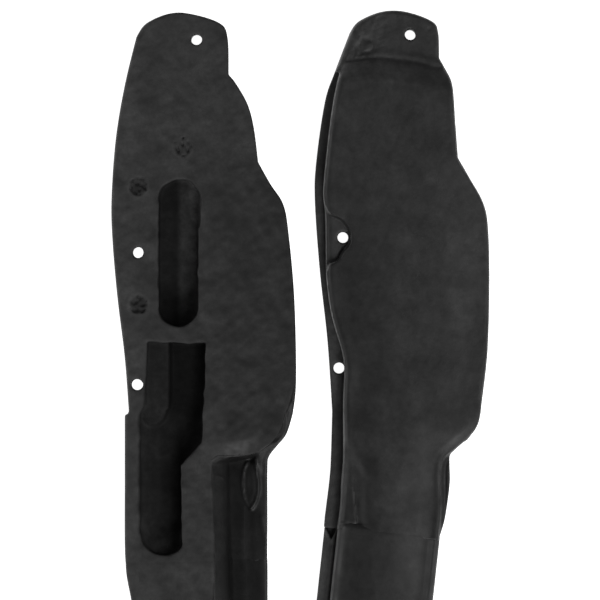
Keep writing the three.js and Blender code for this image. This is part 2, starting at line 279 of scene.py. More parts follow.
def surface(f):
    """Vertices in grid units and quads of the level where f crosses zero; f is positive inside."""
    inside = f > 0
    shape = np.array(f.shape) - 1
    values = [f[i:i + shape[0], j:j + shape[1], k:k + shape[2]] for i, j, k in CORNERS]
    count = sum((v > 0).astype(np.int8) for v in values)
    cells = np.argwhere((count > 0) & (count < 8))
    corner = np.stack([v[tuple(cells.T)] for v in values], 1)
    total = np.zeros((len(cells), 3))
    hits = np.zeros(len(cells))
    for a, b in EDGES:
        fa, fb = corner[:, a], corner[:, b]
        cut = (fa > 0) != (fb > 0)
        t = np.where(cut, fa / np.where(cut, fa - fb, 1), 0)
        total += np.where(cut[:, None], CORNERS[a] + t[:, None] * (CORNERS[b] - CORNERS[a]), 0)
        hits += cut
    points = cells + total / hits[:, None]
    number = np.full(shape, -1)
    number[tuple(cells.T)] = np.arange(len(cells))
    quads = []
    for axis in range(3):
        a, b = [x for x in range(3) if x != axis]
        low = np.take(inside, range(f.shape[axis] - 1), axis)
        high = np.take(inside, range(1, f.shape[axis]), axis)
        edge = np.argwhere(low != high)
        edge = edge[(edge[:, a] > 0) & (edge[:, b] > 0)
                    & (edge[:, a] < shape[a]) & (edge[:, b] < shape[b])]
        ring = []
        for da, db in ((1, 1), (0, 1), (0, 0), (1, 0)):
            cell = edge.copy()
            cell[:, a] -= da
            cell[:, b] -= db
            ring.append(number[tuple(cell.T)])
        quad = np.stack(ring, 1)
        turn = low[tuple(edge.T)] ^ (axis == 1)
        quads.append(np.where(turn[:, None], quad, quad[:, ::-1]))
    return points, np.vstack(quads)


def mesh_object(name, points, quads, tone=None, deep=None):
    """Blender object from metre coordinates, shaded by tone, with the second material where deep."""
    mesh = bpy.data.meshes.new(name)
    mesh.vertices.add(len(points))
    mesh.vertices.foreach_set("co", points.astype(np.float32).ravel())
    mesh.loops.add(quads.size)
    mesh.loops.foreach_set("vertex_index", quads.astype(np.int32).ravel())
    mesh.polygons.add(len(quads))
    mesh.polygons.foreach_set("loop_start", np.arange(0, quads.size, 4, dtype=np.int32))
    mesh.polygons.foreach_set("loop_total", np.full(len(quads), 4, np.int32))
    mesh.update(calc_edges=True)
    mesh.validate()
    mesh.polygons.foreach_set("use_smooth", np.ones(len(mesh.polygons), bool))
    if tone is not None:
        mesh.attributes.new("tone", "FLOAT", "POINT").data.foreach_set(
            "value", tone.astype(np.float32))
    if deep is not None and len(mesh.polygons) == len(quads):
        matt = (deep[quads].mean(axis=1) > 0.5).astype(np.int32)
        mesh.polygons.foreach_set("material_index", matt)
    obj = bpy.data.objects.new(name, mesh)
    bpy.context.scene.collection.objects.link(obj)
    return obj


class Seal:
    """One seal's frame: where its u, v, w origin lies in the shared frame."""

    def __init__(self, hand):
        self.hand = hand
        joint = next(j for j in frame["joints"] if j["name"] == hand["name"] + "_strip_flex")
        yaw = math.radians(hand["yaw"])
        self.across = np.array([math.cos(yaw), math.sin(yaw)])
        self.away = np.array([math.sin(yaw), -math.cos(yaw)])
        hinge = np.array(joint["pos_m"][:2]) / MM
        splice = hinge - HINGE_ACROSS * self.across - HINGE_PAST * self.away
        self.origin = splice - np.array(hand["splice"])

    def strip_coords(self, U, V):
        """Distance across the strip and past the splice."""
        du, dv = U - self.hand["splice"][0], V - self.hand["splice"][1]
        past = du * self.away[0] + dv * self.away[1]
        across = du * self.across[0] + dv * self.across[1]
        return across + self.hand["bend"] * np.minimum(past, 0) ** 2, past

    def place(self, points):
        """Local u, v, w in millimetres to the shared frame in metres."""
        out = points.copy()
        out[:, :2] += self.origin
        if self.hand["mirrored"]:
            out[:, 2] = THICK - out[:, 2]
        return out * MM

    def build(self, name, f, low, step, to_local=None, tone=None, deep=None):
        """Object from a field on a grid that starts at low; tone and deep read its points."""
        points, quads = surface(f)
        points = np.array(low) + points * np.array(step)
        if to_local is not None:
            points = to_local(points)
        if self.hand["mirrored"] != (to_local is not None):
            quads = quads[:, ::-1]
        shade = tone(self, points) if tone is not None else None
        matt = deep(self, points) if deep is not None else None
        return mesh_object(f"{self.hand['name']}_{name}", self.place(points), quads, shade, matt)

    def strip_to_local(self, points):
        """Across the strip, past the splice and up, to local u, v, w."""
        out = points.copy()
        along = points[:, 1:2] * self.away
        out[:, :2] = np.array(self.hand["splice"]) + points[:, :1] * self.across + along
        return out


# ---------------------------------------------------------------- plan of the moulded head

POCKET = outline([(6.9, 65.5), (6.5, 56), (6.2, 46.5)],
                 [(4.9, 44.4), (4.7, 41), (4.7, 12), (4.7, 8.4)],
                 [(5.6, 5.8), (7.2, 3.7), (9.2, 2.2), (11.2, POCKET_END), (13.6, 2), (16, 3), (17.4, 4.8)],
                 [(17, 12), (16.8, 28.6)],
                 [(21.8, 34.2), (23.3, 36.6), (23.4, 45), (24.1, 54), (24.1, 65.1)])
SHELF = outline([(13.2, 70), (13.2, 48.5), (12.4, 45), (11.2, 42.3), (9.4, 40.8), (7.6, 40.5),
                 (6.3, 41.4), (5.2, 42.9), (4.4, 45.4), (4.4, 70)])


def pocket_fields(hand, U, V):
    """Distances inside the short pocket, the long pocket and the long pocket's shelf."""
    left, right, lower, upper = SHORT_POCKET
    right = right - 0.7 * smooth(100.5, 99, V)
    short = rounded_box(U, V, left, right, lower, upper, SHORT_POCKET_R)
    shift = (hand["pocket_end"] - POCKET_END) * smooth(34, 9, V)
    across = U - hand["pocket_in"]
    return short, area_distance(POCKET, across, V - shift), area_distance(SHELF, across, V - shift)


def base_plan(hand):
    return outline(hand["flange"], hand["edge"], hand["tab"], hand["waist"], hand["paddle"][:-1],
                   hand["base_foot"], hand["neck"])


def body_plan(hand):
    return outline(hand["lip_edge"], hand["body_top"], hand["waist"], hand["paddle"],
                   hand["shoulder"])


def rim_distance(hand, U, V):
    """Distance inside the right edge of the show face."""
    rim = spline(hand["rim"])
    beyond = [(-90, -60), (-90, 240), (rim[0, 0], 240)]
    return area_distance(np.vstack([rim, beyond]), U, V)


def side_fold(U, V):
    """Distance to the fold where the lip leaves the neck, negative on the flange's side."""
    distance = line_distance(spline(SIDE_FOLD), U, V)
    fold = read_line([(v, u) for u, v in SIDE_FOLD[::-1]], V)
    return np.where(U > fold, distance, -distance)


def ledge_line(hand, U):
    """Where the show face starts down to the tab."""
    return hand["tab_step"] + 1.6 * bell(U - 15, 9) - 1.6 * smooth(26, 34, U)


def from_ring(hand, U, V):
    """Distance from the middle of the moulded ring on the tab."""
    return np.hypot(U - RING[0], V - hand["tab_step"] - RING[1])


def from_pins(pins, U, V):
    """Distances from the middles of the pin marks."""
    return [np.hypot(U - u, V - v) for u, v in pins]


# ---------------------------------------------------------------- surfaces that head and strip share

def through(knots, x):
    """Height read from a smooth curve through the knots."""
    path = spline(knots)
    return np.interp(x, path[:, 0], path[:, 1])


def back_relief(U, V):
    """Waviness of the mounting face: how far it lies inside its flat plane."""
    return 0.09 + 0.04 * waves(U, V, 11, 3) + 0.016 * waves(U, V, 3.4, 4)


def show_relief(U, V):
    """Waviness of the show face."""
    return 0.05 * waves(U, V, 16, 21) + 0.018 * waves(U, V, 5, 22)


def head_sink(past):
    """How far the head's skin dips, so that the strip's skin comes through it before its end."""
    return 0.02 * smooth(-1.5, -0.3, past)


def strip_sink(past):
    """The same for the strip's skin, which starts inside the head."""
    return 0.02 * smooth(-0.3, -1.5, past) + 0.6 * smooth(-1.3, -2.3, past)


def crown(hand, across):
    """Height of the strip's show surface across the strip."""
    if hand["mirrored"]:
        knots = [(3.0, 4), (3.9, 8.2), (4.5, 9.9), (5.6, 10.9), (8, 11.4), (12, 11.7), (18, 11.95),
                 (24, 11.9), (29, 11.5), (31.5, 11.2), (35, 11.6), (39, 11.9), (41.5, 11.6),
                 (42.6, 10.8)]
    else:
        knots = [(3.0, 4), (3.9, 7.6), (4.5, 9), (5.2, 9.8), (6.2, 10.5)] + CROWN_MIDDLE + [
            (30.4, 10.05), (31.4, 9.6), (33, 9.2), (34.2, 8), (37, 6)]
    return through(knots, across)


def neck_crown(hand, across):
    """The same where the moulding narrows above the splice."""
    if hand["mirrored"]:
        return crown(hand, across)
    knots = [(3.0, 7.6), (4.2, 9.6), (5.8, 10.7)] + CROWN_MIDDLE + [(31, 10.2), (33, 10.1), (38, 10.1)]
    return through(knots, across)


def underside(hand, across):
    """Height of the wall and lip on the mounting side, beyond the base."""
    if hand["mirrored"]:
        knots = [(25, 0.4), (26.6, 0.9), (28, 2.4), (29.6, 4.6), (30.6, 6.6), (31.6, 9.0), (33, 9.4),
                 (36, 9.3), (39, 8.5), (41, 8.1), (42.4, 8.2), (42.8, 8.6)]
    else:
        knots = [(24, 0.5), (27, 1.2), (29, 2.0), (31, 2.9), (33, 3.3), (37, 3.6)]
    return through(knots, across)


def in_valley(hand, across, v, height):
    """Foot of the wall on the mounting side, which no light reaches."""
    between = (across > VALLEY[0]) & (across < VALLEY[1])
    return hand["mirrored"] & between & (v < VALLEY_END) & (height < VALLEY_TOP)


def lip_painted_shade(hand, across):
    """Painted shade of the wall and lip on the mounting side, darkest in the valley at the wall's foot,
    seen across the strip.
    """
    if not hand["mirrored"]:
        return np.ones_like(across)
    # painted shade: darkest across the valley at the wall's foot, where no light reaches
    return np.interp(across, (25.5, 28, 30, 31.4, 34.5, 36.5, 38.4, 39.6, 40.8, 41.8),
                     (0.7, 0.8, 0.8, 0.3, 0.3, 0.6, 0.6, 0.42, 0.5, 0.9))


def base_bloom_and_painted_light(hand, u, v, height):
    """Blotches of bloom with painted light: lighter towards the flange's edge and, on the right seal, over
    the flange beside the tall body; a painted glint on the left seal's shoulder; darker over the right of
    the paddle and round the shoulder corner; lighter towards the tab.
    """
    # painted light: lighter towards the flange's edge, over random blotches of bloom
    light_and_bloom = 0.3 * smooth(9, 0, u) + 0.12 * waves(u, v, 9, 71) + 0.1 * waves(u, v, 3.5, 72)
    if not hand["mirrored"]:
        # painted light: the right seal's flange lightened where the tall body shades it
        light_and_bloom += (1.0 - 0.8 * smooth(50, 35, v) + 0.6 * smooth(4, -4, v)) * smooth(1.6, 3.0, height)
    light_and_bloom -= 0.25 * smooth(22, 32, u) * smooth(120, 108, v) * smooth(34, 44, v)
    light_and_bloom -= 0.35 * bell(np.hypot((u - 41) / 8, (v - 39) / 4.5), 1)
    if hand["mirrored"]:
        # painted highlight on the left seal's shoulder
        painted_glint = bell(np.hypot((u - 33.6) / 4.6, (v - 33.8 - 0.3 * (u - 33.6)) / 1.9), 1)
        light_and_bloom += painted_glint * (0.65 + 0.3 * waves(u, v, 2.8, 75))
    return 1 + light_and_bloom + 0.25 * smooth(112, 130, v)


def body_tone(u, v):
    """Blotches of bloom on the soft rubber."""
    return 1 + 0.1 * waves(u, v, 10, 73) + 0.07 * waves(u, v, 3.5, 74)


# ---------------------------------------------------------------- moulded base

def foot_drop(U, V):
    """How far the mounting face sinks as it nears the shoulder."""
    ahead = V - read_line(FOOT_LINE, U)
    fade = smooth(26, 30.5, U) * smooth(43, 35, U)
    return 0.42 * np.clip(4.6 - ahead, 0, 9) * smooth(4.6, 2.2, ahead) * fade


def mounting_face(U, V, past):
    """Height of the mounting face: wavy, pitted beside the long pocket, raised under pin marks."""
    face = back_relief(U, V) + foot_drop(U, V)
    pits = smooth(0.5, 1.2, waves(U, V, 1.5, 5))
    face += 0.16 * pits * bell(np.hypot((U - 21) / 6, (V - 24) / 7), 1)
    for (_, v), r in zip(PINS, from_pins(PINS, U, V)):
        face -= 0.12 * bell(r - PIN_R - 0.6, 0.5) * smooth(3, -3, V - v)
    return np.maximum(face + head_sink(past), 0.0)


def pin_mark(pin, U, V, w):
    """Blind mark with a crumbled floor, shallower in the middle of the base."""
    u, v = pin
    crumb = 0.55 + 0.4 * waves(U, V, 2.0, int(u * 7 + v)) - (0.3 if u > 10 else 0)
    crumb = np.clip(crumb, 0.12, 1.1)
    return smax(wall(np.hypot(U - u, V - v) - PIN_R, w), w - crumb[..., None], 0.3)


def base_shade(seal, points):
    """Painted shade in the pockets, darker in the marks, and a painted highlight on the lower lips of the
    marks.
    """
    u, v, height = points.T
    short, long, _ = pocket_fields(seal.hand, u, v)
    # painted shade inside the pockets
    inside = smooth(-0.7, 0.2, np.maximum(short, long)) * smooth(0.3, 1.4, height)
    marks = sum(smooth(PIN_R + 0.2, PIN_R - 0.5, r) for r in from_pins(PINS[1:], u, v))
    # painted highlight on the lower lip of each mark
    rims = sum(bell(r - PIN_R - 0.3, 0.45) * smooth(1.5, -2, v - pin[1])
               for pin, r in zip(PINS, from_pins(PINS, u, v)))
    shade = base_bloom_and_painted_light(seal.hand, u, v, height)
    return shade * (1 - 0.6 * inside) * (1 - 0.35 * marks) * (1 + 0.7 * rims)


def base_deep(seal, points):
    """Pocket walls and crumbled marks."""
    u, v, height = points.T
    short, long, _ = pocket_fields(seal.hand, u, v)
    marks = np.min(from_pins(PINS[1:], u, v), axis=0)
    return ((np.maximum(short, long) > -0.25) & (height > 0.6)) | (
        (marks < PIN_R - 0.3) & (height < 2))


def moulded_base(seal):
    """Dense plate with its pin marks, fastener holes and the pockets' mouths."""
    hand = seal.hand
    low, step = (-5.6, -5.2, -1.0), (STEP, STEP, 0.45)
    U, V, w = grid(low, (53, 166, 4.8), step)
    plan = area_distance(base_plan(hand), U, V)
    past = seal.strip_coords(U, V)[1]
    short, long, _ = pocket_fields(hand, U, V)

    face = mounting_face(U, V, past)
    edge = 0.35 + 1.1 * smooth(12, 6, U) - 0.25 * smooth(46, 40, V) * smooth(26, 29, U)
    f = smin(plan[..., None], w - face[..., None], edge[..., None])
    f = smin(f, (BASE - w) + 0 * f, 0.4)
    f = smin(f, wall(-past, w), 0.1)
    for pin in PINS:
        f = smin(f, pin_mark(pin, U, V, w), 0.35)
    for u, v in hand["holes"]:
        f = smin(f, wall(np.hypot(U - u, V - v) - HOLE_R, w), 0.25)
    wavy = 0.1 * waves(U, V, 5, 9)
    soft = 0.35 + 1.4 * smooth(8, 5, U) * smooth(2, 8, V)
    f = smin(f, wall(wavy - short, w), 0.5)
    f = smin(f, wall(wavy - long, w), soft[..., None])
    return seal.build("moulded_base", f, low, step, tone=base_shade, deep=base_deep)


# ---------------------------------------------------------------- show side of the sealing body

def crowned_face(hand, U, V, across):
    """Height of the show face, rolled over at both edges, blending into the strip's crown."""
    left = line_distance(spline(hand["lip_edge"][:-1]), U, V)
    right = rim_distance(hand, U, V)
    middle = smooth(30, 44, V) * smooth(104, 84, V)
    top = SHOW - (0.12 * bell(left - 4.6, 2.8) + 1.15 * smooth(22, 2, left)) * middle
    top -= (0.7 + smooth(45, 75, V)) * smooth(14, 0, right) * smooth(116, 100, V)
    neck = smooth(36, 24, V)
    top = top * (1 - neck) + neck_crown(hand, across) * neck
    corner = bell(np.hypot((U - 41) / 7, (V - 31) / 6), 1)
    top -= roll(left, 0.9 + 1.0 * smooth(28, 34, V)) + roll(right, 0.8)
    top -= 1.4 * corner * np.clip(1 - right / 3.2, 0, 1) ** 1.5
    return top - smooth(0.1, -0.3, right) * 0.3 * smooth(31, 29, V)


def with_tab(hand, U, V, plan, top):
    """Ramps the show face down to the tab, with its crease, ring and dimple."""
    ledge = ledge_line(hand, U)
    rise = np.clip((V - ledge + RAMP) / RAMP, 0, 1) ** 1.6
    tab = TAB - roll(np.minimum(plan, 5), 0.9 + 1.1 * smooth(16, 8, U))
    tab = tab + 0.05 * waves(U, V, 1.7, 34) * smooth(24, 12, U)
    top = top * (1 - rise) + tab * rise
    top += 0.3 * bell(V - ledge - 1.2, 1.1) * smooth(11, 15, U)
    top -= 0.25 * bell(V - ledge + 0.4, 0.6) * smooth(24, 19, U) * smooth(4, 6, U)
    ring = from_ring(hand, U, V)
    top -= 0.4 * bell(ring - RING_R, 0.6) - 0.25 * bell(ring, 0.9)
    return top - 0.3 * bell(np.hypot(U - DIMPLE[0], V - DIMPLE[1]), 0.6)


def scallop(hand, U, V):
    """Depth of the cut-away that clears the middle fastener hole."""
    pad = area_distance(spline(hand["notch"]), U, V)
    return SCALLOP * smooth(-0.15, 0.25, pad) + 0.7 * bell(pad - 0.25, 0.45) * smooth(96.5, 94, V)


def neck_folds(hand, U, V, past):
    """Depth of the creases where the lip and flap leave the neck."""
    crease = spline(SIDE_CREASE)
    ridge = U - np.interp(V, crease[::-1, 1], crease[::-1, 0])
    reach = smooth(24, 12, V) * smooth(-2.0, -2.8, past)
    beside = smooth(0.2, 0.9, ridge) * smooth(4.5, 1.2, ridge)
    depth = reach * (0.5 * beside - 0.12 * bell(ridge, 0.45))
    depth += 0.55 * smooth(0.9, -0.9, side_fold(U, V)) * smooth(43, 34, V) * smooth(14, 9, U)
    if hand["mirrored"]:
        return depth
    flap = line_distance(spline(hand["flap_in"]), U, V)
    rim = rim_distance(hand, U, V)
    depth += 0.45 * bell(flap, 0.5) - 0.2 * bell(rim - 1.0, 0.8) * smooth(30, 26, V)
    foot = 0.3 * bell(past + 2.1, 0.5) - 0.12 * bell(past + 2.9, 0.4)
    return depth + foot * smooth(9.4, 8.6, U)


def show_height(seal, U, V, plan):
    """Height of the moulded show face, creases and relief included."""
    hand = seal.hand
    across, past = seal.strip_coords(U, V)
    top = with_tab(hand, U, V, plan, crowned_face(hand, U, V, across))
    top -= scallop(hand, U, V) + neck_folds(hand, U, V, past) + head_sink(past)
    return np.minimum(top + show_relief(U, V), THICK - 0.04)


# ---------------------------------------------------------------- mounting side of the sealing body

def foot_slope(hand, U, V, across):
    """Height beyond the base: flush at its foot line, then down the wall and along the lip."""
    beyond = underside(hand, across)
    gone = smooth(0.8, -1.4, V - read_line(WALL_LINE, U))
    flush = back_relief(U, V) + foot_drop(U, V) - 0.1
    slope = flush * (1 - gone) + np.maximum(beyond, flush) * gone
    rim_run = np.minimum(1.3 + 7.0 * smooth(38, 24, V), beyond)
    corner_in = smooth(37.5, 40.5, U)
    below = slope * (1 - corner_in) + rim_run * corner_in
    return np.maximum(np.where(U < 25.5, beyond, below), 0.0)


def lip_folds(hand, U, V, plan, base):
    """Depth of the lens-shaped lip end and the small folds around it."""
    inner, outer = spline(hand["flap_in"]), spline(hand["flap_out"])
    lens = area_distance(np.vstack([inner, outer[::-1]]), U, V)
    rims = 0.7 * bell(line_distance(inner, U, V), 0.42) + 0.8 * bell(line_distance(outer, U, V), 0.42)
    depth = smooth(34, 31, V) * (0.6 * smooth(-0.4, 1.6, lens) + rims)
    fold = line_distance(spline(hand["lip_fold"]), U, V)
    depth += 0.45 * bell(fold, 0.42) * smooth(0.3, 0, base)
    depth += 0.35 * bell(plan - 0.55, 0.4) * smooth(46, 40, V) * smooth(38, 40, U)
    for path, width in LIP_CREASES:
        depth += 0.4 * bell(line_distance(path, U, V), width)
    return depth


def mounting_height(seal, U, V, plan, pockets):
    """Height of the body's mounting side; over the base it reaches a little into it."""
    hand = seal.hand
    across, past = seal.strip_coords(U, V)
    base = area_distance(base_plan(hand), U, V)
    foot = line_distance(spline(hand["base_foot"]), U, V)
    band = 0.25 + foot_drop(U, V) + 0.35 * smooth(0.2, 1.2, foot) * smooth(34, 40, V)
    low_part = smooth(38.5, 36.5, V)
    outside = band * (1 - low_part) + foot_slope(hand, U, V, across) * low_part
    joint = BASE - 0.25 - 1.1 * smooth(-2.4, -1.4, pockets)
    under = np.where(base < np.where(V < 34, 0.9, 0.45), outside, joint)
    if hand["mirrored"]:
        under -= lip_folds(hand, U, V, plan, base)
    return under + head_sink(past)


def short_floor(U, V, rough):
    """Height of the short pocket's floor."""
    floor = SHORT_FLOOR - 0.6 * smooth(13, 20, U) - 1.2 * smooth(94, 104, V) * smooth(15, 20, U)
    return floor + rough


def long_floor(hand, U, V, shelf, rough):
    """Height of the long pocket's floor, lower over the shelf and along its left wall."""
    floor = LONG_FLOOR - 1.0 * smooth(40, 30, V) - 1.4 * smooth(9, 3, V - hand["pocket_end"])
    floor -= 4.2 * smooth(10.5, 4.6, U - hand["pocket_in"]) * smooth(46, 42, V)
    floor += (SHELF_FLOOR - floor) * smooth(-0.9, 0.5, shelf)
    return floor + rough + 0.05 * waves(U, V, 1.4, 33) * bell(V - 42, 3) * smooth(-1.5, 0.3, shelf)


# ---------------------------------------------------------------- sealing body

def pocket_painted_shade(hand, u, v, long, shelf):
    """Painted shade and light on the pocket walls and floors, varied across and along each pocket."""
    # painted shade and light, varied across and along each pocket
    short_part = 0.3 + (0.8 + 0.25 * smooth(80, 104, v)) * smooth(15, 17.5, u) + 1.5 * smooth(18, 23, u)
    run = u - hand["pocket_in"]
    long_part = 0.6 - 0.25 * smooth(6, 15, run) + 0.5 * smooth(15, 24, run)
    long_part *= 1 - 0.6 * smooth(40, 46, v)
    ahead = v - hand["pocket_end"] + POCKET_END
    long_part *= 1 + smooth(16, 7, ahead) * (0.9 + 1.8 * smooth(7, 14, run))
    dark = np.where(v < 68, long_part, short_part)
    return np.where(np.minimum(long + 0.5, shelf) > 0, 0.5, dark)


def mounting_side_painted_light(hand, u, v, height, hidden):
    """Painted shade on the foot of the shoulder and painted highlights along the folds of the lip end,
    where the mounting side is seen.
    """
    # painted shade on the shoulder's foot
    foot = smooth(33.4, 31.6, v) * smooth(28.4, 29.6, v) * smooth(26.5, 28, u) * smooth(40.5, 38, u)
    foot = foot * smooth(1.0, 2.0, height) * smooth(9.5, 8.5, height)
    folds = np.minimum(line_distance(spline(hand["flap_in"]), u, v),
                       line_distance(spline(hand["flap_out"]), u, v))
    # painted highlight along the lip end's folds
    return (1 - 0.6 * foot) * (1 + 0.9 * bell(folds, 0.4) * hidden)


def show_side_painted_light(hand, u, v, height):
    """Painted light and shade of the show side: painted highlights on the shoulder, rim and fold; painted
    shade on the left part, the lower right, the lower left edge, the corner and above the tab's ledge; a
    lighter tab and a darker ring.
    """
    # painted shade on the left part and the lower right
    shade = 1 - 0.3 * smooth(22, 10, u) * smooth(9.8, 10.6, height) * smooth(118, 90, v)
    shade *= 1 - (0.2 + 0.15 * smooth(34, 24, v)) * smooth(24, 34, u) * smooth(75, 50, v)
    rim = rim_distance(hand, u, v)
    # painted highlights on the shoulder, the rim along the neck and the side fold
    shade *= 1 + 0.9 * bell(rim - 1.6, 1.6) * bell(np.hypot((u - 38) / 7, (v - 30) / 7), 1)
    shade *= 1 + 0.6 * bell(rim - 0.6, 0.8) * smooth(27, 24, v) * smooth(12, 18, v)
    shade *= 1 + 1.3 * bell(side_fold(u, v), 1.3) * smooth(40, 34, v) * smooth(14, 9, u)
    # painted shade on the lower left edge and the corner
    shade *= 1 - 0.45 * smooth(31, 28, v) * smooth(6.2, 5.2, u)
    shade *= 1 - 0.5 * bell(np.hypot(u - 36.4, v - 26.6), 1.4)
    shade *= 1 + (0.5 - 0.45 * smooth(20, 28, u)) * smooth(136, 142, v)
    # painted shade just above the tab's ledge
    shade *= 1 - 0.3 * bell(v - ledge_line(hand, u) - 0.8, 1.3)
    return shade * (1 - 0.35 * bell(from_ring(hand, u, v), 2.0))


def body_shade(seal, points):
    """Painted light and shade of the soft body over its bloom: pockets, mounting side and show side."""
    hand = seal.hand
    u, v, height = points.T
    short, long, shelf = pocket_fields(hand, u, v)
    inside = smooth(-0.5, 0.2, np.maximum(short, long)) * smooth(10.5, 9.8, height)
    hidden = smooth(31.5, 29, v) * smooth(10.2, 9.6, height)
    # bloom, with painted shade and light in the pockets
    shade = body_tone(u, v) * (1 + (pocket_painted_shade(hand, u, v, long, shelf) - 1) * inside)
    # painted shade on the mounting side's wall and lip
    shade *= 1 + (lip_painted_shade(hand, u) - 1) * hidden
    if hand["mirrored"]:
        return shade * mounting_side_painted_light(hand, u, v, height, hidden)
    return shade * show_side_painted_light(hand, u, v, height)


def body_deep(seal, points):
    """Pocket walls and floors, and the foot of the wall beside the lip."""
    u, v, height = points.T
    short, long, _ = pocket_fields(seal.hand, u, v)
    return ((np.maximum(short, long) > -0.5) & (height < 10.4)) | in_valley(seal.hand, u, v, height)


def sealing_body(seal):
    """Soft raised body between its show side and its mounting side, with the pockets' floors."""
    hand = seal.hand
    low, step = (-5.6, -5.2, -0.9), (STEP, STEP, 0.5)
    U, V, w = grid(low, (53, 166, 13.4), step)
    plan = area_distance(body_plan(hand), U, V)
    base = area_distance(base_plan(hand), U, V)
    past = seal.strip_coords(U, V)[1]
    plan = np.where(V > ledge_line(hand, U) - 3, np.maximum(plan, base - 0.1), plan)
    short, long, shelf = pocket_fields(hand, U, V)

    top = show_height(seal, U, V, plan)
    under = mounting_height(seal, U, V, plan, np.maximum(short, long))
    f = smin(plan[..., None], top[..., None] - w, 0.7)
    f = smin(f, w - under[..., None], 0.45)
    f = smin(f, wall(-past, w), 0.1)
    rough = 0.02 * waves(U, V, 1.6, 31) + 0.03 * waves(U, V, 5, 32)
    floor = short_floor(U, V, rough)
    f = smin(f, smax(wall(-short, w), w - floor[..., None], 0.9), 0.4)
    floor = np.minimum(long_floor(hand, U, V, shelf, rough), top - 1.8)
    f = smin(f, smax(wall(-long, w), w - floor[..., None], 0.9), 0.4)
    for u, v in hand["holes"][:2]:
        f = smin(f, wall(np.hypot(U - u, V - v) - HOLE_R, w), 0.3)
    return seal.build("sealing_body_skin", f, low, step, tone=body_shade, deep=body_deep)


# ---------------------------------------------------------------- extruded strip

def hollow(A, w, clear=0.0):
    """Positive inside the bulb's hollow, made smaller all round by clear."""
    x = np.abs(A - HOLLOW[0]) / (HOLLOW_HALF[0] - clear)
    y = np.abs(w - HOLLOW[1]) / (HOLLOW_HALF[1] - clear)
    return (1 - x ** HOLLOW_POWER - y ** HOLLOW_POWER) * 1.3


def strip_ends(S):
    """Distance inside the strip's two square ends."""
    return np.minimum(S - STRIP_START, STRIP_END - S)


def in_head_frame(seal, A, S):
    """The head's u and v at places on the strip."""
    spots = seal.strip_to_local(np.stack([A.ravel(), S.ravel(), 0 * A.ravel()], 1))
    return spots[:, 0].reshape(A.shape), spots[:, 1].reshape(A.shape)


def flat_shade(seal, points):
    """Bloom and painted light of the strip's base, with a painted highlight along one side of the notch.
    """
    across, past = seal.strip_coords(points[:, 0], points[:, 1])
    shade = base_bloom_and_painted_light(seal.hand, *points.T)
    if seal.hand["mirrored"]:
        return shade
    # painted highlight along one side of the notch
    return shade * (1 + 1.2 * bell(line_distance(NOTCH_HIGHLIGHT, across, past), 0.5))


def strip_base(seal):
    """Flat base of the strip; the right one has a notch at the splice."""
    hand = seal.hand
    low = (-1.2, -3.3, -0.9)
    A, S, w = grid(low, (29, 41, 4.4), STRIP_GRID)
    ease = smooth(0, TAPER_LENGTH, S)
    left, right = hand["taper"][0] * ease, hand["base_reach"] + hand["taper"][1] * ease
    side = np.minimum(A - left, right - A) - strip_sink(S)
    under = back_relief(*in_head_frame(seal, A, S)) + strip_sink(S)
    under += smooth(0, 4, S) * (0.12 * bell(A - 3.8, 0.5) + 0.1 * bell(A - 15.2, 0.6))
    top = STRIP_FLAT + 0.35 * bell(A - 3.3, 0.5)
    f = smin(side[..., None], w - under[..., None], 1.2)
    f = smin(f, top[..., None] - w, 0.5)
    if not hand["mirrored"]:
        f = smin(f, smax(wall(-area_distance(NOTCH, A, S), w), 1.2 - w, 0.3), 0.2)
    f = smin(f, wall(strip_ends(S), w), 0.1)
    return seal.build("strip_flat", f, low, STRIP_GRID, seal.strip_to_local, flat_shade)


def bulb_shade(seal, points):
    """Painted shade and light across the bulb, over its bloom, fading into the head's at the splice."""
    hand = seal.hand
    u, v, height = points.T
    across, past = seal.strip_coords(u, v)
    if hand["mirrored"]:
        return body_tone(u, v) * (1 + (lip_painted_shade(hand, across) - 1) * smooth(10.2, 9.6, height))
    # painted shade and light across the extruded bulb
    extruded = np.interp(across, (4.5, 5.4, 7, 9.5, 16, 26, 29, 31, 33.4, 34.4),
                         (0.3, 1, 0.85, 0.55, 0.55, 0.75, 0.85, 0.5, 0.5, 1.2))
    # painted shade of the head's show face, as on the head
    moulded = (1 - 0.3 * smooth(22, 10, u)) * (1 - 0.35 * smooth(24, 34, u))
    share = np.maximum(smooth(-1, 9, past), smooth(6, 5, across))
    return body_tone(u, v) * (moulded + (extruded - moulded) * share)


def bulb_deep(seal, points):
    """The foot of the wall beside the lip."""
    u, v, height = points.T
    return in_valley(seal.hand, seal.strip_coords(u, v)[0], v, height)


def strip_bulb(seal):
    """Hollow bulb of the strip with its side lip."""
    hand = seal.hand
    low = (2.0, -3.3, 0.0)
    A, S, w = grid(low, (44, 41, 13), STRIP_GRID)
    ease = smooth(0, TAPER_LENGTH, S)
    reach = hand["lip_reach"] + 0.3 * hand["taper"][1] * ease
    side = np.minimum(A - BULB_SIDE, reach - A) - strip_sink(S)
    top = crown(hand, A) + show_relief(*in_head_frame(seal, A, S)) - strip_sink(S)
    top = np.minimum(top, THICK)
    edge = hand["base_reach"] + hand["taper"][1] * ease
    under = np.where(A > edge - 0.5, underside(hand, A) + strip_sink(S), STRIP_FLAT - 0.2)
    if hand["mirrored"]:
        under = under - 0.3 * bell(A - 31.4, 0.45)
    f = smin(side[..., None], top[..., None] - w, 0.8)
    f = smin(f, w - under[..., None], 0.5)
    f = smin(f, -hollow(A[..., None], w), 0.2)
    f = smin(f, wall(strip_ends(S), w), 0.1)
    return seal.build("strip_bulb_skin", f, low, STRIP_GRID, seal.strip_to_local, bulb_shade,
                      bulb_deep)


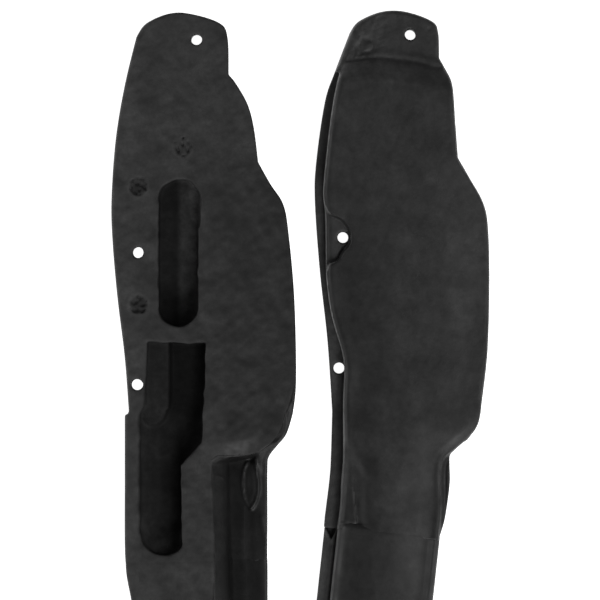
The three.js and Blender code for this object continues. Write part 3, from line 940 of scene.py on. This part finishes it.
def splice_plug(seal):
    """Foam plug that closes the bulb's hollow at the splice."""
    low, step = (5, -0.6, 4), (0.5, 0.6, 0.4)
    A, S, w = grid(low, (30, 10.5, 10.6), step)
    cells = 0.12 * waves(A, S, 2.2, 61)
    f = hollow(A[..., None], w, 0.35) + cells[..., None]
    f = smin(f, wall(np.minimum(S - PLUG_START, PLUG_END - S) + cells, w), 0.5)
    return seal.build("splice_plug_foam", f, low, step, to_local=seal.strip_to_local)


# ---------------------------------------------------------------- materials

def nodes_of(material):
    material.use_nodes = True
    tree = material.node_tree
    tree.nodes.clear()
    out = tree.nodes.new("ShaderNodeOutputMaterial")
    shader = tree.nodes.new("ShaderNodeBsdfPrincipled")
    tree.links.new(shader.outputs[0], out.inputs[0])
    return tree, shader


def noise(tree, coords, scale, detail=3.0, roughness=0.55):
    n = tree.nodes.new("ShaderNodeTexNoise")
    n.inputs["Scale"].default_value = scale
    n.inputs["Detail"].default_value = detail
    n.inputs["Roughness"].default_value = roughness
    tree.links.new(coords, n.inputs["Vector"])
    return n.outputs[0]


def spread(tree, value, low, high, from_low=0.3, from_high=0.7):
    """Stretches a noise's middle range to run from low to high."""
    n = tree.nodes.new("ShaderNodeMapRange")
    for i, x in zip((1, 2, 3, 4), (from_low, from_high, low, high)):
        n.inputs[i].default_value = x
    tree.links.new(value, n.inputs[0])
    return n.outputs[0]


def maths(tree, kind, a, b):
    n = tree.nodes.new("ShaderNodeMath")
    n.operation = kind
    for i, x in enumerate((a, b)):
        if isinstance(x, float):
            n.inputs[i].default_value = x
        else:
            tree.links.new(x, n.inputs[i])
    return n.outputs[0]


def grey_colour(tree, shader, value):
    """Base colour with the value in all three channels."""
    mix = tree.nodes.new("ShaderNodeCombineColor")
    for i in range(3):
        tree.links.new(value, mix.inputs[i])
    tree.links.new(mix.outputs[0], shader.inputs["Base Color"])


def object_coords(tree):
    return tree.nodes.new("ShaderNodeTexCoord").outputs["Object"]


def rubber(name, shade, rough, specular, grain, grain_size, toned=False):
    """Black rubber: blotchy bloom, fine grain, and where it is toned, the painted light and shade kept in
    the piece's tone attribute.
    """
    material = bpy.data.materials.new(name)
    tree, shader = nodes_of(material)
    coords = object_coords(tree)
    bloom = spread(tree, noise(tree, coords, 110, 4), 0.82, 1.2)
    speck = spread(tree, noise(tree, coords, 900, 2), 0.86, 1.16)
    value = maths(tree, "MULTIPLY", bloom, speck)
    if toned:
        # tone attribute: bloom with painted light and shade
        tone = tree.nodes.new("ShaderNodeAttribute")
        tone.attribute_name = "tone"
        value = maths(tree, "MULTIPLY", value, tone.outputs["Fac"])
    value = maths(tree, "MULTIPLY", value, shade)
    grey_colour(tree, shader, value)
    uneven = spread(tree, noise(tree, coords, 160, 3), rough - 0.07, rough + 0.08)
    tree.links.new(uneven, shader.inputs["Roughness"])
    shader.inputs["Specular IOR Level"].default_value = specular
    bump = tree.nodes.new("ShaderNodeBump")
    bump.inputs["Strength"].default_value = grain
    bump.inputs["Distance"].default_value = BUMP_DEPTH
    height = maths(tree, "ADD", noise(tree, coords, grain_size, 4, 0.65),
                   maths(tree, "MULTIPLY", noise(tree, coords, grain_size * 0.22, 2), 1.6))
    tree.links.new(height, bump.inputs["Height"])
    tree.links.new(bump.outputs[0], shader.inputs["Normal"])
    return material


def plated_steel():
    material = bpy.data.materials.new("insert_steel")
    tree, shader = nodes_of(material)
    coords = object_coords(tree)
    value = spread(tree, noise(tree, coords, 260, 4), 0.3, 0.6)
    grey_colour(tree, shader, value)
    tree.links.new(spread(tree, noise(tree, coords, 600, 2), 0.35, 0.55), shader.inputs["Roughness"])
    shader.inputs["Metallic"].default_value = 0.9
    return material


def pale_floor():
    material = bpy.data.materials.new("floor")
    _, shader = nodes_of(material)
    shader.inputs["Base Color"].default_value = (0.85, 0.85, 0.85, 1)
    shader.inputs["Roughness"].default_value = 0.9
    shader.inputs["Emission Color"].default_value = (1, 1, 1, 1)
    shader.inputs["Emission Strength"].default_value = FLOOR_GLOW
    return material


# ---------------------------------------------------------------- assembly

def dress(obj, slot_name, replaced, *materials):
    """Gives the piece its materials and hides the CAD node it stands for."""
    for material in materials:
        obj.data.materials.append(material)
    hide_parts(replaced)
    return obj


def make_materials():
    return dict(
        dense=rubber("dense_rubber", 0.022, 0.64, 0.25, 0.5, 2600, toned=True),
        soft=rubber("soft_rubber", 0.018, 0.5, 0.28, 0.3, 3200, toned=True),
        strip_dense=rubber("extruded_dense_rubber", 0.022, 0.6, 0.25, 0.3, 2600, toned=True),
        strip_soft=rubber("extruded_soft_rubber", 0.017, 0.5, 0.28, 0.16, 3600, toned=True),
        # duller, less glossy copy of the rubber for pocket walls, marks and the valley foot: painted shade
        # where little light reaches
        pocket=rubber("pocket_rubber", 0.026, 0.8, 0.12, 0.5, 2600, toned=True),
        foam=rubber("plug_rubber", 0.03, 0.8, 0.3, 0.9, 1500),
        steel=plated_steel(),
    )


def make_end(seal, kit):
    """Moulded head: base and sealing body on the end's body, steel on the CAD insert."""
    side = seal.hand["name"]
    base = dress(moulded_base(seal), "dense_rubber", side + "_mounting_base", kit["dense"],
                 kit["pocket"])
    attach(base, side + "_end")
    body = dress(sealing_body(seal), "soft_rubber", side + "_sealing_body", kit["soft"],
                 kit["pocket"])
    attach(body, side + "_end")
    plate = frame["nodes"][side + "_steel_insert"]
    plate.data.materials.clear()
    plate.data.materials.append(kit["steel"])


def make_strip(seal, kit):
    """Extruded strip and its plug, past the splice."""
    side = seal.hand["name"]
    pieces = (
        dress(strip_base(seal), "extruded_dense_rubber", side + "_strip_base", kit["strip_dense"]),
        dress(strip_bulb(seal), "extruded_soft_rubber", side + "_strip_bulb", kit["strip_soft"],
              kit["pocket"]),
        dress(splice_plug(seal), "plug_rubber", side + "_splice_plug", kit["foam"]),
    )
    middle = THICK / 2
    ends = np.array([[HINGE_ACROSS, 0, middle], [HINGE_ACROSS, BEND_LENGTH, middle]])
    start, stop = seal.place(seal.strip_to_local(ends))
    for piece in pieces:
        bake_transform(piece)


# ---------------------------------------------------------------- floor, light and camera

def lay_floor():
    h = FLOOR_HALF
    mesh = bpy.data.meshes.new("floor")
    mesh.from_pydata([(-h, -h, 0), (h, -h, 0), (h, h, 0), (-h, h, 0)], [], [(0, 1, 2, 3)])
    mesh.materials.append(pale_floor())
    floor = bpy.data.objects.new("floor", mesh)
    floor.location.z = -FLOOR_DROP
    bpy.context.scene.collection.objects.link(floor)


def light_world(strength):
    world = bpy.data.worlds.new("studio")
    bpy.context.scene.world = world
    world.use_nodes = True
    background = world.node_tree.nodes["Background"]
    background.inputs["Color"].default_value = (1, 1, 1, 1)
    background.inputs["Strength"].default_value = strength


def softbox(name, where, size, power):
    """Square light that faces the origin."""
    light = bpy.data.lights.new(name, "AREA")
    light.size = size
    light.energy = power
    obj = bpy.data.objects.new(name, light)
    obj.location = where
    obj.rotation_mode = "QUATERNION"
    obj.rotation_quaternion = (-Vector(where)).to_track_quat("-Z", "Y")
    bpy.context.scene.collection.objects.link(obj)


def place_camera(aim):
    """Long lens looking straight down at a place given in millimetres."""
    camera = bpy.data.objects.new("camera", bpy.data.cameras.new("camera"))
    bpy.context.scene.collection.objects.link(camera)
    bpy.context.scene.camera = camera
    camera.data.sensor_width = SENSOR
    camera.data.lens = LENS
    camera.data.clip_end = 20
    height = VIEW_WIDTH / SENSOR * LENS + THICK / 2 * MM
    camera.location = (aim[0] * MM, aim[1] * MM, height)


seals = [Seal(LEFT), Seal(RIGHT)]
kit = make_materials()
for seal in seals:
    make_end(seal, kit)
    make_strip(seal, kit)

lay_floor()
light_world(strength=0.115)
softbox("right_box", (0.75, -0.2, 1.15), size=0.8, power=7.4)
softbox("front_box", (0.2, -1.1, 0.85), size=0.4, power=10.5)
softbox("left_box", (-1.3, 0.1, 0.45), size=0.6, power=7)
bpy.context.scene.view_settings.view_transform = "Standard"
place_camera(np.array(AIM) + seals[0].origin)

bpy.context.view_layer.update()
